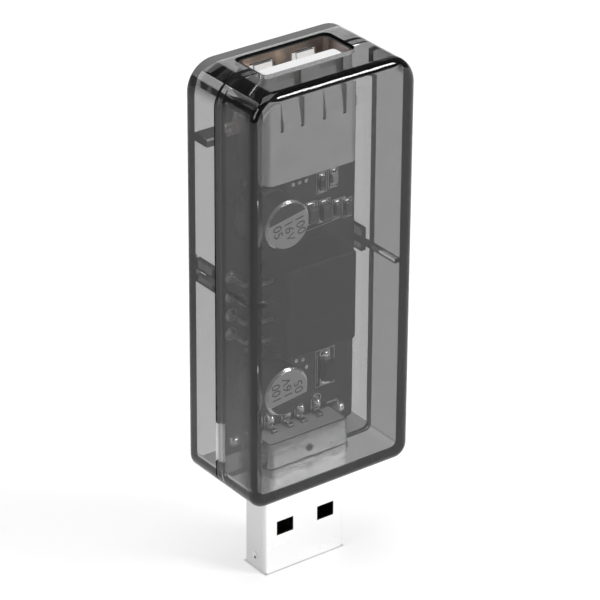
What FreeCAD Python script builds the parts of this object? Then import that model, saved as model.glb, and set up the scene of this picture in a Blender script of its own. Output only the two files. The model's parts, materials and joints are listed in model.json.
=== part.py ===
# A USB isolator: a smoked two-shell case that carries a plug, a socket and the board between them.
# Frame: origin at the middle of the plug's tip, +Z up through plug and socket, +X along the broad
# faces, -Y out of the front face. Lengths are millimetres, angles are degrees.
import FreeCAD, Part
import Sketcher
import os
import re

Vector = FreeCAD.Vector
Rotation = FreeCAD.Rotation
X_AXIS = Vector(1, 0, 0)
Y_AXIS = Vector(0, 1, 0)
Z_AXIS = Vector(0, 0, 1)

# Driving sizes
SIZES = {
    # case, two shells that meet on the plug's middle plane
    "case_width": 23.5,
    "case_height": 54.0,
    "front_depth": 7.8,
    "rear_depth": 6.3,
    "side_wall": 1.55,
    "end_wall": 1.6,
    "front_wall": 1.6,
    "rear_wall": 1.4,
    "top_corner": 3.8,
    "bottom_corner": 2.0,
    "inner_corner": 0.8,
    "edge_round": 1.2,
    # seam: the rear shell's lip stands in a rebate of the front shell
    "seam_gap": 0.1,
    "lip_height": 0.8,
    "lip_thickness": 0.7,
    "lip_gap": 0.05,
    # slot in the seam where a blade opens the case
    "pry_slot_length": 5.3,
    "pry_slot_width": 0.4,
    "pry_slot_level": 17.3,
    # front shell's tongue ribs slide between the rear shell's fork ribs
    "rib_level": 40.75,
    "rib_depth": 0.7,
    "tongue_rib_thickness": 0.6,
    "tongue_rib_reach": 2.9,
    "fork_gap": 0.08,
    "lower_fork_thickness": 0.95,
    "upper_fork_thickness": 1.3,
    "fork_reach": 0.35,
    # corner shelves that the board's upper wings rest on
    "shelf_level": 57.8,
    "shelf_thickness": 1.1,
    "shelf_socket_gap": 0.75,
    "shelf_gap": 0.05,
    # nub on the rear edge of the socket's hole
    "nub_width": 1.0,
    "nub_gap": 0.05,
    "nub_root": 0.5,
    # plug shell
    "plug_exposed": 13.6,
    "plug_width": 12.0,
    "plug_thickness": 4.5,
    "plug_length": 18.7,
    "plug_sheet": 0.3,
    "plug_corner": 0.6,
    "plug_tip_bevel": 0.12,
    "plug_hole_gap": 0.1,
    "window_width": 2.5,
    "window_height": 1.95,
    "window_level": 5.15,
    "window_spacing": 6.16,
    "seam_width": 0.14,
    "seam_depth": 0.1,
    "dimple_ball": 0.8,
    "dimple_depth": 0.2,
    "front_dimple_level": 16.55,
    "side_dimple_level": 1.9,
    "plug_ear_length": 1.7,
    "plug_ear_height": 1.1,
    # contacts, the same pitch in plug and socket
    "inner_contact_spacing": 2.0,
    "outer_contact_spacing": 7.0,
    "contact_width": 1.0,
    "contact_sheet": 0.2,
    "tail_width": 0.7,
    "tail_bend": 0.15,
    "tail_gap": 0.15,
    "tail_foot": 1.5,
    "tail_root": 0.5,
    "inner_contact_tip": 2.2,
    "outer_contact_tip": 1.2,
    # plug insulator
    "moulding_gap": 0.03,
    "plug_tongue_tip": 0.5,
    "plug_tongue_face": 0.05,
    "plug_base_level": 12.0,
    # socket shell
    "socket_width": 13.1,
    "socket_thickness": 5.72,
    "socket_length": 13.8,
    "socket_recess": 0.25,
    "socket_offset": 0.28,
    "socket_sheet": 0.3,
    "socket_corner": 1.0,
    "socket_hole_side_gap": 0.3,
    "socket_hole_front_gap": 0.06,
    "socket_hole_rear_gap": 0.36,
    "socket_hole_corner": 1.1,
    "socket_board_overlap": 1.8,
    "finger_spacing": 6.1,
    "finger_width": 2.5,
    "finger_slot": 0.45,
    "finger_root_depth": 7.2,
    "finger_root_overlap": 0.2,
    "finger_bend_rise": 0.8,
    "finger_crest_drop": 1.6,
    "finger_tip_depth": 1.0,
    "finger_end_gap": 0.2,
    "finger_bulge": 0.75,
    "finger_flare": 0.45,
    "socket_ear_offset": 0.475,
    "socket_ear_height": 1.8,
    "socket_ear_level": 59.2,
    # socket insulator and its spring contacts
    "tongue_width": 11.1,
    "tongue_thickness": 1.84,
    "tongue_recess": 0.5,
    "tongue_offset": 0.02,
    "tongue_round": 0.45,
    "socket_block_inset": 2.5,
    "socket_block_thickness": 1.9,
    "groove_relief": 0.3,
    "groove_end_wall": 0.4,
    "spring_rise_depth": 6.4,
    "spring_crest_depth": 2.9,
    "spring_tip_depth": 1.1,
    "spring_height": 0.55,
    "spring_tip_drop": 0.15,
    "spring_round": 0.5,
    # board
    "board_side_gap": 1.0,
    "board_thickness": 1.0,
    "board_front": 1.4,
    "board_base": 16.4,
    "board_top": 62.4,
    "board_corner": 0.4,
    "notch_gap": 0.1,
    "pin_hole_radius": 0.4,
    # power module and its pins
    "module_width": 10.2,
    "module_height": 11.8,
    "module_thickness": 5.7,
    "module_centre": 0.2,
    "module_level": 36.8,
    "module_round": 0.35,
    "module_bevel": 0.2,
    "module_pin_pitch": 2.54,
    "module_pin_width": 0.5,
    "module_pin_sheet": 0.25,
    "module_pin_edge": 1.6,
    "module_pin_bend": 0.3,
    "module_pin_stub": 0.6,
    # isolator chip on the back of the board
    "isolator_length": 10.3,
    "isolator_width": 7.5,
    "isolator_height": 2.1,
    "isolator_standoff": 0.1,
    "isolator_level": 36.8,
    "isolator_lead_pitch": 1.27,
    "isolator_lead_width": 0.42,
    "isolator_lead_sheet": 0.25,
    "isolator_lead_span": 10.3,
    "isolator_lead_foot": 0.7,
    "mould_draft": 7.0,
    "mark_radius": 0.5,
    "mark_depth": 0.1,
    # electrolytic capacitors
    "can_diameter": 6.3,
    "can_height": 5.4,
    "can_bevel": 0.3,
    "can_neck": 0.35,
    "can_neck_level": 1.9,
    "can_seat_level": 0.7,
    "can_base_width": 6.6,
    "can_base_thickness": 1.0,
    "can_base_chamfer": 1.5,
    "can_lead_width": 0.8,
    "can_lead_sheet": 0.2,
    "can_lead_root": 0.8,
    "can_lead_reach": 0.5,
    "can_edge": 4.6,
    "upper_can_offset": 0.575,
    "upper_can_turn": 11.0,
    "lower_can_level": 26.5,
    "lower_can_turn": 187.0,
    # diode
    "diode_length": 2.7,
    "diode_width": 1.6,
    "diode_height": 1.1,
    "diode_standoff": 0.05,
    "diode_lead_width": 0.9,
    "diode_lead_sheet": 0.15,
    "diode_lead_span": 3.8,
    "diode_lead_foot": 0.3,
    "diode_place": 5.0,
    "diode_level": 24.4,
    # chips with two plated ends
    "large_chip_length": 2.0,
    "large_chip_width": 1.25,
    "large_chip_height": 0.9,
    "small_chip_length": 1.6,
    "small_chip_width": 0.8,
    "small_chip_height": 0.5,
    "chip_end": 0.3,
    "chip_end_proud": 0.03,
    "lens_height": 0.3,
    "lens_length": 0.9,
    "lens_round": 0.12,
}

# Chips on the board's front: name, kind, how far from the middle towards the board's edge, level
FRONT_CHIPS = [
    ("chip_capacitor_1", "large", 0.283, 46.1),
    ("chip_capacitor_2", "large", 0.5, 45.9),
    ("chip_capacitor_3", "small", 0.712, 45.6),
    ("chip_capacitor_4", "small", 0.88, 45.3),
    ("led_resistor", "small", 0.462, 49.7),
]

# Chips on the board's back, beside the isolator chip
BACK_CHIPS = [
    ("series_resistor_1", "small", -0.13, 26.0),
    ("series_resistor_2", "small", 0.13, 26.0),
    ("series_resistor_3", "small", -0.13, 48.0),
    ("series_resistor_4", "small", 0.13, 48.0),
    ("bypass_capacitor_1", "large", 0.478, 27.6),
    ("bypass_capacitor_2", "large", 0.478, 46.0),
]

LED_PLACE = (0.647, 49.9)

# Places and shared lengths worked out from the sizes
PLACES = {
    "half_case": "case_width / 2",
    "case_top": "plug_exposed + case_height",
    "inner_half": "case_width / 2 - side_wall",
    "floor": "plug_exposed + end_wall",
    "ceiling": "case_top - end_wall",
    "lip_inset": "side_wall - lip_thickness",
    "lip_end_inset": "end_wall - lip_thickness",
    "lip_bottom_corner": "(bottom_corner + inner_corner) / 2",
    "lip_top_corner": "(top_corner + inner_corner) / 2",
    "front_inner": "-(front_depth - front_wall)",
    "rear_inner": "rear_depth - rear_wall",
    "half_seam": "seam_gap / 2",
    "half_plug_hole": "plug_width / 2 + plug_hole_gap",
    "half_plug_hole_depth": "plug_thickness / 2 + plug_hole_gap",
    "half_inner_plug": "plug_width / 2 - plug_sheet",
    "half_inner_plug_depth": "plug_thickness / 2 - plug_sheet",
    "socket_top": "case_top - socket_recess",
    "socket_base": "socket_top - socket_length",
    "half_socket": "socket_width / 2",
    "socket_front": "socket_offset - socket_thickness / 2",
    "socket_rear": "socket_offset + socket_thickness / 2",
    "half_socket_hole": "socket_width / 2 + socket_hole_side_gap",
    "socket_hole_front": "socket_front - socket_hole_front_gap",
    "socket_hole_rear": "socket_rear + socket_hole_rear_gap",
    "board_back": "board_front + board_thickness",
    "plug_notch_top": "plug_length + notch_gap",
    "socket_notch_base": "socket_base + socket_board_overlap",
    "socket_block_base": "socket_base + socket_block_inset",
    "socket_block_top": "socket_block_base + socket_block_thickness",
    "contact_face": "socket_offset + tongue_offset",
    "tongue_tip": "socket_top - tongue_recess",
    "tongue_rib_half": "tongue_rib_thickness / 2",
    "half_board": "inner_half - board_side_gap",
    "shelf_width": "inner_half - half_socket - shelf_socket_gap",
    "socket_ear_end": "(half_socket + half_board) / 2 + socket_ear_offset",
    "module_top": "module_level + module_height / 2",
    "module_pin_place": "-(half_board - module_pin_edge)",
    "can_place": "-(half_board - can_edge)",
    "upper_can_level": "(module_top + socket_base) / 2 + upper_can_offset",
}

# Radius of the circle that an outline's corners start on before they are placed
STARTING_RADIUS = 5.0

# How far a cut runs past the solid that it cuts
PAST = 1.0

# Which way a contact's tail leads, as the start of a formula
UP = "1 *"
DOWN = "-1 *"

doc = FreeCAD.newDocument("usb_isolator")
sheet = doc.addObject("Spreadsheet::Sheet", "sizes")
for row, (name, number) in enumerate(SIZES.items(), start=1):
    sheet.set(f"A{row}", name)
    sheet.set(f"B{row}", str(number))
    sheet.setAlias(f"B{row}", name)
doc.recompute()

pieces = []


def formula(text):
    """Write a formula of size and place names as an expression on the sheet."""
    def expand(match):
        word = match.group()
        if word in PLACES:
            return "(" + formula(PLACES[word]) + ")"
        return "sizes." + word if word in SIZES else word
    return re.sub(r"[a-z_]+", expand, str(text))


def bind(thing, path, text):
    """Tie one property of a thing to the sheet."""
    thing.setExpression(path, formula(text))


# Sketches, pads and cuts


def new_body(label):
    """A piece that is built by pads and cuts."""
    body = doc.addObject("PartDesign::Body", label)
    body.Label = label
    pieces.append(body)
    return body


def sketch_on(body, plane, offset="0"):
    """An empty sketch on one of the body's main planes, moved along that plane's normal."""
    sketch = body.newObject("Sketcher::SketchObject", body.Name + "_sketch")
    support = next(item for item in body.Origin.OriginFeatures if item.Role == plane)
    sketch.AttachmentSupport = [(support, "")]
    sketch.MapMode = "FlatFace"
    bind(sketch, "AttachmentOffset.Base.z", offset)
    return sketch


def add_dimension(sketch, kind, geometry, point, text):
    """Give one point of the sketch its distance from the origin."""
    index = sketch.addConstraint(Sketcher.Constraint(kind, -1, 1, geometry, point, 1.0))
    sketch.renameConstraint(index, f"dim_{index}")
    bind(sketch, f"Constraints.dim_{index}", text)


def add_outline(sketch, corners):
    """Draw a closed outline of straight edges through corners given as formulas."""
    first = sketch.GeometryCount
    count = len(corners)
    start = [Rotation(Z_AXIS, 360 * i / count).multVec(X_AXIS * STARTING_RADIUS) for i in range(count)]
    for i in range(count):
        sketch.addGeometry(Part.LineSegment(start[i], start[(i + 1) % count]), False)
    for i in range(count):
        sketch.addConstraint(Sketcher.Constraint("Coincident", first + i, 2, first + (i + 1) % count, 1))
    for i, (across, up) in enumerate(corners):
        add_dimension(sketch, "DistanceX", first + i, 1, across)
        add_dimension(sketch, "DistanceY", first + i, 1, up)


def add_circle(sketch, across, up, radius):
    """Draw a circle whose centre and radius are formulas."""
    index = sketch.addGeometry(Part.Circle(Vector(1, 1, 0), Z_AXIS, 1), False)
    add_dimension(sketch, "DistanceX", index, 3, across)
    add_dimension(sketch, "DistanceY", index, 3, up)
    constraint = sketch.addConstraint(Sketcher.Constraint("Radius", index, 1.0))
    sketch.renameConstraint(constraint, f"radius_{constraint}")
    bind(sketch, f"Constraints.radius_{constraint}", radius)


def rectangle(left, right, low, high):
    """The four corners of a rectangle."""
    return [(left, low), (right, low), (right, high), (left, high)]


def pad(body, sketch, length, backwards=False, both_ways=False, taper=None):
    """Grow the sketch into solid along its plane's normal."""
    feature = body.newObject("PartDesign::Pad", body.Name + "_pad")
    feature.Profile = sketch
    feature.SideType = "Symmetric" if both_ways else "One side"
    feature.Reversed = backwards
    bind(feature, "Length", length)
    if taper:
        bind(feature, "TaperAngle", taper)
    return finish_feature(body, feature, grows=True)


def cut(body, sketch, depth, backwards=False, both_ways=False):
    """Sink the sketch into the solid, against its plane's normal unless backwards."""
    feature = body.newObject("PartDesign::Pocket", body.Name + "_cut")
    feature.Profile = sketch
    feature.SideType = "Symmetric" if both_ways else "One side"
    feature.Reversed = backwards
    bind(feature, "Length", depth)
    return finish_feature(body, feature, grows=False)


def dimple(body, across, depth_place, level):
    """Press a ball into the solid and leave a shallow round dent."""
    feature = body.newObject("PartDesign::SubtractiveSphere", body.Name + "_dimple")
    bind(feature, "Radius", "dimple_ball")
    bind(feature, "Placement.Base.x", across)
    bind(feature, "Placement.Base.y", depth_place)
    bind(feature, "Placement.Base.z", level)
    return finish_feature(body, feature, grows=False)


def finish_feature(body, feature, grows):
    """Recompute, and make sure that the feature changed the solid the way it should."""
    before = feature.BaseFeature.Shape.Volume if feature.BaseFeature else 0.0
    body.Tip = feature
    doc.recompute()
    if feature.Shape.isNull():
        raise RuntimeError(f"{feature.Name} in {body.Label} did not build")
    after = feature.Shape.Volume
    if (after <= before) if grows else (after >= before):
        raise RuntimeError(f"{feature.Name} in {body.Label} changed nothing")
    return feature


def edges_round_face(shape, direction):
    """Names of the edges round the outermost flat face that looks in a direction."""
    faces = [face for face in shape.Faces if isinstance(face.Surface, Part.Plane)
             and face.normalAt(0, 0) * direction > 0.999]
    face = max(faces, key=lambda item: item.CenterOfMass * direction)
    rim = face.OuterWire.Edges
    return [f"Edge{index}" for index, edge in enumerate(shape.Edges, start=1)
            if any(edge.isSame(other) for other in rim)]


def edges_over_corners(shape, sketch, numbers):
    """Names of the straight edges that stand over numbered corners of a sketch."""
    normal = sketch.Placement.Rotation.multVec(Z_AXIS)
    corners = [sketch.Placement.multVec(sketch.Geometry[number].StartPoint) for number in numbers]
    names = []
    for index, edge in enumerate(shape.Edges, start=1):
        if not isinstance(edge.Curve, Part.Line) or abs(edge.Curve.Direction * normal) < 0.999:
            continue
        if any((edge.CenterOfMass - corner).cross(normal).Length < 1e-4 for corner in corners):
            names.append(f"Edge{index}")
    return names


def dress_edges(body, kind, length_name, names, length):
    """Round or bevel the named edges of the body's last feature."""
    feature = body.newObject("PartDesign::" + kind, body.Name + "_" + kind.lower())
    feature.Base = (feature.BaseFeature, names)
    bind(feature, length_name, length)
    body.Tip = feature
    doc.recompute()
    if feature.Shape.isNull():
        raise RuntimeError(f"{feature.Name} in {body.Label} did not build on {names}")


def round_edges(body, names, radius):
    """Round the named edges of the body's last feature."""
    dress_edges(body, "Fillet", "Radius", names, radius)


def bevel_edges(body, names, width):
    """Bevel the named edges of the body's last feature."""
    dress_edges(body, "Chamfer", "Size", names, width)


def round_corners(body, sketch, numbers, radius):
    """Round the edges over some corners of a sketch; corners count from 0 in drawing order."""
    round_edges(body, edges_over_corners(body.Tip.Shape, sketch, numbers), radius)


def contact_places():
    """Place along X and tip level of the four contacts, from left to right."""
    return [
        ("-outer_contact_spacing / 2", "outer_contact_tip"),
        ("-inner_contact_spacing / 2", "inner_contact_tip"),
        ("inner_contact_spacing / 2", "inner_contact_tip"),
        ("outer_contact_spacing / 2", "outer_contact_tip"),
    ]


# Case


def case_outline(side_inset, end_inset):
    """The case's outline from the front, drawn in by an inset at the sides and at the ends."""
    return rectangle(f"-half_case + {side_inset}", f"half_case - ({side_inset})",
                     f"plug_exposed + {end_inset}", f"case_top - ({end_inset})")


def round_case(body, sketch, bottom_radius, top_radius):
    """Round the two bottom and the two top corners of an outline of the case."""
    round_corners(body, sketch, (0, 1), bottom_radius)
    round_corners(body, sketch, (2, 3), top_radius)


def cut_connector_holes(body, low, high, edge_corners):
    """Cut the plug's hole through the floor and the socket's hole through the top."""
    plug_hole = sketch_on(body, "XY_Plane", "floor")
    add_outline(plug_hole, rectangle("-half_plug_hole", "half_plug_hole",
                                     low or "-half_plug_hole_depth", high or "half_plug_hole_depth"))
    cut(body, plug_hole, f"end_wall + {PAST}")
    round_corners(body, plug_hole, edge_corners, "plug_corner")
    socket_hole = sketch_on(body, "XY_Plane", "ceiling")
    add_outline(socket_hole, rectangle("-half_socket_hole", "half_socket_hole",
                                       low or "socket_hole_front", high or "socket_hole_rear"))
    cut(body, socket_hole, f"end_wall + {PAST}", backwards=True)
    round_corners(body, socket_hole, edge_corners, "socket_hole_corner")


def front_shell():
    """The deeper front shell: a bright window, a rebated rim and a tongue rib on each side wall."""
    body = new_body("front_shell")
    outside = sketch_on(body, "XZ_Plane", "half_seam")
    add_outline(outside, case_outline("0", "0"))
    pad(body, outside, "front_depth - half_seam")

    inside = sketch_on(body, "XZ_Plane", "half_seam")
    add_outline(inside, case_outline("side_wall", "end_wall"))
    cut(body, inside, "front_depth - front_wall - half_seam", backwards=True)
    round_corners(body, inside, range(4), "inner_corner")

    rebate = sketch_on(body, "XZ_Plane", "half_seam")
    add_outline(rebate, case_outline("lip_inset - lip_gap", "lip_end_inset - lip_gap"))
    cut(body, rebate, "lip_height + lip_gap - half_seam", backwards=True)
    round_case(body, rebate, "lip_bottom_corner + lip_gap", "lip_top_corner + lip_gap")

    round_case(body, outside, "bottom_corner", "top_corner")
    round_edges(body, edges_round_face(body.Tip.Shape, -Y_AXIS), "edge_round")
    cut_connector_holes(body, None, PAST, (0, 1))

    ribs = sketch_on(body, "XY_Plane", "rib_level")
    for side in ("-", ""):
        root = f"{side}(inner_half + side_wall / 2)"
        wall = f"{side}(inner_half - lip_gap)"
        edge = f"{side}(inner_half - rib_depth)"
        add_outline(ribs, [(root, "front_inner - front_wall / 2"), (edge, "front_inner - front_wall / 2"),
                           (edge, "tongue_rib_reach"), (wall, "tongue_rib_reach"),
                           (wall, "-lip_height - lip_gap"), (root, "-lip_height - lip_gap")])
    pad(body, ribs, "tongue_rib_thickness", both_ways=True)

    pry_slot = sketch_on(body, "YZ_Plane", "-half_case + lip_inset")
    add_outline(pry_slot, rectangle("-half_seam - pry_slot_width", PAST,
                                    "pry_slot_level", "pry_slot_level + pry_slot_length"))
    cut(body, pry_slot, f"lip_inset + {PAST}")


def rear_shell():
    """The flatter rear shell: its lip, the forks for the tongue ribs and the board's shelves."""
    body = new_body("rear_shell")
    outside = sketch_on(body, "XZ_Plane", "-half_seam")
    add_outline(outside, case_outline("0", "0"))
    pad(body, outside, "rear_depth - half_seam", backwards=True)

    lip = sketch_on(body, "XZ_Plane", "-half_seam")
    add_outline(lip, case_outline("lip_inset", "lip_end_inset"))
    pad(body, lip, "lip_height + half_seam")

    inside = sketch_on(body, "XZ_Plane", "lip_height")
    add_outline(inside, case_outline("side_wall", "end_wall"))
    cut(body, inside, "lip_height + rear_inner")
    round_corners(body, inside, range(4), "inner_corner")

    round_case(body, lip, "lip_bottom_corner", "lip_top_corner")
    round_case(body, outside, "bottom_corner", "top_corner")
    round_edges(body, edges_round_face(body.Tip.Shape, Y_AXIS), "edge_round")
    cut_connector_holes(body, f"-lip_height - {PAST}", None, (2, 3))

    root = "rear_inner + rear_wall / 2"
    lower_fork = "rib_level - tongue_rib_half - fork_gap - lower_fork_thickness"
    upper_fork = "rib_level + tongue_rib_half + fork_gap"
    ribs = [
        (lower_fork, "lower_fork_thickness", "rib_depth", "fork_reach"),
        (upper_fork, "upper_fork_thickness", "rib_depth", "fork_reach"),
        ("shelf_level", "shelf_thickness", "shelf_width", "board_back + shelf_gap"),
    ]
    for level, thickness, width, edge in ribs:
        outline = sketch_on(body, "XY_Plane", level)
        add_outline(outline, rectangle("inner_half - " + width, "inner_half + side_wall / 2", edge, root))
        add_outline(outline, rectangle("-inner_half - side_wall / 2", "-inner_half + " + width, edge, root))
        pad(body, outline, thickness)

    nub = sketch_on(body, "XY_Plane", "ceiling")
    add_outline(nub, rectangle("-nub_width / 2", "nub_width / 2",
                               "socket_rear + nub_gap", "socket_hole_rear + nub_root"))
    pad(body, nub, "end_wall - socket_recess")


# Plug


def plug_shell():
    """The plug's rolled sheet shell with its latch windows, dents, back seam and solder ears."""
    body = new_body("plug_shell")
    outside = sketch_on(body, "XY_Plane")
    add_outline(outside, rectangle("-plug_width / 2", "plug_width / 2",
                                   "-plug_thickness / 2", "plug_thickness / 2"))
    pad(body, outside, "plug_length")
    round_corners(body, outside, range(4), "plug_corner")
    bevel_edges(body, edges_round_face(body.Tip.Shape, -Z_AXIS), "plug_tip_bevel")

    inside = sketch_on(body, "XY_Plane")
    add_outline(inside, rectangle("-half_inner_plug", "half_inner_plug",
                                  "-half_inner_plug_depth", "half_inner_plug_depth"))
    cut(body, inside, f"plug_length + {PAST}", backwards=True)
    round_corners(body, inside, range(4), "plug_corner - plug_sheet")

    windows = sketch_on(body, "XZ_Plane")
    for side in ("-", ""):
        middle = f"{side}window_spacing / 2"
        add_outline(windows, rectangle(f"{middle} - window_width / 2", f"{middle} + window_width / 2",
                                       "window_level", "window_level + window_height"))
    cut(body, windows, f"plug_thickness + {PAST}", both_ways=True)

    seam = sketch_on(body, "XY_Plane")
    add_outline(seam, rectangle("-seam_width / 2", "seam_width / 2",
                                "plug_thickness / 2 - seam_depth", f"plug_thickness / 2 + {PAST}"))
    cut(body, seam, f"plug_length + {PAST}", backwards=True)

    dimple(body, "0", "-plug_thickness / 2 - dimple_ball + dimple_depth", "front_dimple_level")
    for side in ("-", ""):
        dimple(body, f"{side}(plug_width / 2 + dimple_ball - dimple_depth)", "0", "side_dimple_level")

    ears = sketch_on(body, "XY_Plane", "plug_length - plug_ear_height")
    for side in ("-", ""):
        add_outline(ears, rectangle(f"{side}(plug_width / 2 - plug_sheet / 2)",
                                    f"{side}(plug_width / 2 + plug_ear_length)",
                                    "board_front - plug_sheet", "board_front"))
    pad(body, ears, "plug_ear_height")


def plug_insulator():
    """The black moulding that closes the plug's back and carries the contacts on its tongue."""
    body = new_body("plug_insulator")
    half_width = "half_inner_plug - moulding_gap"
    half_depth = "half_inner_plug_depth - moulding_gap"
    block = sketch_on(body, "XY_Plane", "plug_tongue_tip")
    add_outline(block, rectangle(f"-({half_width})", half_width, f"-({half_depth})", half_depth))
    pad(body, block, "plug_length - plug_tongue_tip")
    round_corners(body, block, range(4), "plug_corner - plug_sheet")
    mouth = sketch_on(body, "XY_Plane", "plug_base_level")
    add_outline(mouth, rectangle("-plug_width", "plug_width", "-plug_thickness", "plug_tongue_face"))
    cut(body, mouth, "plug_base_level")
    for place, tip in contact_places():
        channel = sketch_on(body, "XY_Plane", f"{tip} - moulding_gap")
        add_outline(channel, rectangle(f"{place} - contact_width / 2 - moulding_gap",
                                       f"{place} + contact_width / 2 + moulding_gap",
                                       "plug_tongue_face - moulding_gap",
                                       "plug_tongue_face + contact_sheet + moulding_gap"))
        cut(body, channel, f"plug_length - {tip} + {PAST}", backwards=True)


def add_tail(body, place, face, end, away):
    """Add a contact's tail: out of the moulding's end, across to the board and along it."""
    tail = sketch_on(body, "YZ_Plane", place)
    back = f"{face} + contact_sheet"
    start = f"{end} - {away} tail_root"
    run = f"{end} + {away} tail_gap"
    foot = f"{run} + {away} tail_foot"
    inner = f"{run} + {away} contact_sheet"
    board_side = "board_front - contact_sheet"
    add_outline(tail, [(face, start), (back, start), (back, run), ("board_front", run),
                       ("board_front", foot), (board_side, foot), (board_side, inner), (face, inner)])
    pad(body, tail, "tail_width", both_ways=True)
    round_corners(body, tail, (2, 6), "tail_bend")
    round_corners(body, tail, (3, 7), "tail_bend + contact_sheet")


def plug_contact(number, place, tip):
    """One flat contact of the plug with its tail."""
    body = new_body(f"plug_contact_{number}")
    strip = sketch_on(body, "YZ_Plane", place)
    add_outline(strip, rectangle("plug_tongue_face", "plug_tongue_face + contact_sheet",
                                 tip, "plug_length"))
    pad(body, strip, "contact_width", both_ways=True)
    add_tail(body, place, "plug_tongue_face", "plug_length", UP)


# Socket


def finger_outline(wall, inward):
    """A spring finger in the socket's wall: up from its root, into the mouth and out at its tip."""
    root = "socket_top - finger_root_depth"
    tip = "socket_top - finger_tip_depth"
    outer = [(wall, f"{root} - finger_root_overlap"), (wall, f"{root} + finger_bend_rise"),
             (f"{wall} {inward} finger_bulge", f"{tip} - finger_crest_drop"),
             (f"{wall} {inward} (finger_bulge - finger_flare)", tip)]
    inner = [(f"{across} {inward} socket_sheet", up) for across, up in reversed(outer)]
    return outer + inner


def socket_shell():
    """The socket's sheet shell with two spring fingers in each broad wall and its solder ears."""
    body = new_body("socket_shell")
    outside = sketch_on(body, "XY_Plane", "socket_base")
    add_outline(outside, rectangle("-half_socket", "half_socket", "socket_front", "socket_rear"))
    pad(body, outside, "socket_length")
    round_corners(body, outside, range(4), "socket_corner")

    inside = sketch_on(body, "XY_Plane", "socket_base")
    add_outline(inside, rectangle("-half_socket + socket_sheet", "half_socket - socket_sheet",
                                  "socket_front + socket_sheet", "socket_rear - socket_sheet"))
    cut(body, inside, f"socket_length + {PAST}", backwards=True)
    round_corners(body, inside, range(4), "socket_corner - socket_sheet")

    board_step = sketch_on(body, "YZ_Plane")
    add_outline(board_step, rectangle("board_front - notch_gap", f"socket_rear + {PAST}",
                                      f"socket_base - {PAST}", "socket_notch_base + notch_gap"))
    cut(body, board_step, f"socket_width + {PAST}", both_ways=True)

    windows = sketch_on(body, "XZ_Plane", "-socket_offset")
    for side in ("-", ""):
        middle = f"{side}finger_spacing / 2"
        reach = "finger_width / 2 + finger_slot"
        add_outline(windows, rectangle(f"{middle} - ({reach})", f"{middle} + {reach}",
                                       "socket_top - finger_root_depth",
                                       "socket_top - finger_tip_depth + finger_end_gap"))
    cut(body, windows, f"socket_thickness + {PAST}", both_ways=True)

    for side in ("-", ""):
        fingers = sketch_on(body, "YZ_Plane", f"{side}finger_spacing / 2")
        add_outline(fingers, finger_outline("socket_front", "+"))
        add_outline(fingers, finger_outline("socket_rear", "-"))
        pad(body, fingers, "finger_width", both_ways=True)
        round_corners(body, fingers, (2, 5, 10, 13), "finger_bulge")

    ears = sketch_on(body, "XY_Plane", "socket_ear_level")
    for side in ("-", ""):
        add_outline(ears, rectangle(f"{side}(half_socket - socket_sheet / 2)",
                                    f"{side}socket_ear_end",
                                    "board_front - socket_sheet", "board_front"))
    pad(body, ears, "socket_ear_height")


def socket_insulator():
    """The white moulding: a block that closes the shell's back and the tongue between the contacts."""
    body = new_body("socket_insulator")
    half_width = "half_socket - socket_sheet - moulding_gap"
    block = sketch_on(body, "XY_Plane", "socket_block_base")
    add_outline(block, rectangle(f"-({half_width})", half_width,
                                 "socket_front + socket_sheet + moulding_gap",
                                 "socket_rear - socket_sheet - moulding_gap"))
    pad(body, block, "socket_block_thickness")
    round_corners(body, block, range(4), "socket_corner - socket_sheet")
    tongue = sketch_on(body, "XY_Plane", "socket_block_top")
    add_outline(tongue, rectangle("-tongue_width / 2", "tongue_width / 2",
                                  "contact_face - tongue_thickness", "contact_face"))
    pad(body, tongue, "tongue_tip - socket_block_top")
    round_corners(body, tongue, range(4), "tongue_round")
    slots = sketch_on(body, "XY_Plane", "socket_block_top")
    grooves = sketch_on(body, "XY_Plane", "socket_block_top")
    for place, _ in contact_places():
        left = f"{place} - contact_width / 2 - moulding_gap"
        right = f"{place} + contact_width / 2 + moulding_gap"
        add_outline(slots, rectangle(left, right, "contact_face - contact_sheet - moulding_gap",
                                     "contact_face + moulding_gap"))
        add_outline(grooves, rectangle(left, right, "contact_face - contact_sheet - groove_relief",
                                       f"contact_face + {PAST}"))
    cut(body, slots, f"socket_block_thickness + {PAST}")
    cut(body, grooves, "tongue_tip - groove_end_wall - socket_block_top", backwards=True)


def socket_contact(number, place):
    """One spring contact of the socket: up its groove, out to a crest and back at its tip."""
    body = new_body(f"socket_contact_{number}")
    rise = "socket_top - spring_rise_depth"
    crest = "socket_top - spring_crest_depth"
    tip = "socket_top - spring_tip_depth"
    back = [("contact_face", "socket_block_base"), ("contact_face", rise),
            ("contact_face + spring_height", crest), ("contact_face - spring_tip_drop", tip)]
    front = [(f"{across} - contact_sheet", up) for across, up in reversed(back)]
    spring = sketch_on(body, "YZ_Plane", place)
    add_outline(spring, back + front)
    pad(body, spring, "contact_width", both_ways=True)
    round_corners(body, spring, (2, 5), "spring_round")
    add_tail(body, place, "contact_face - contact_sheet", "socket_block_base", DOWN)


# Board and what stands on it


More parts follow.
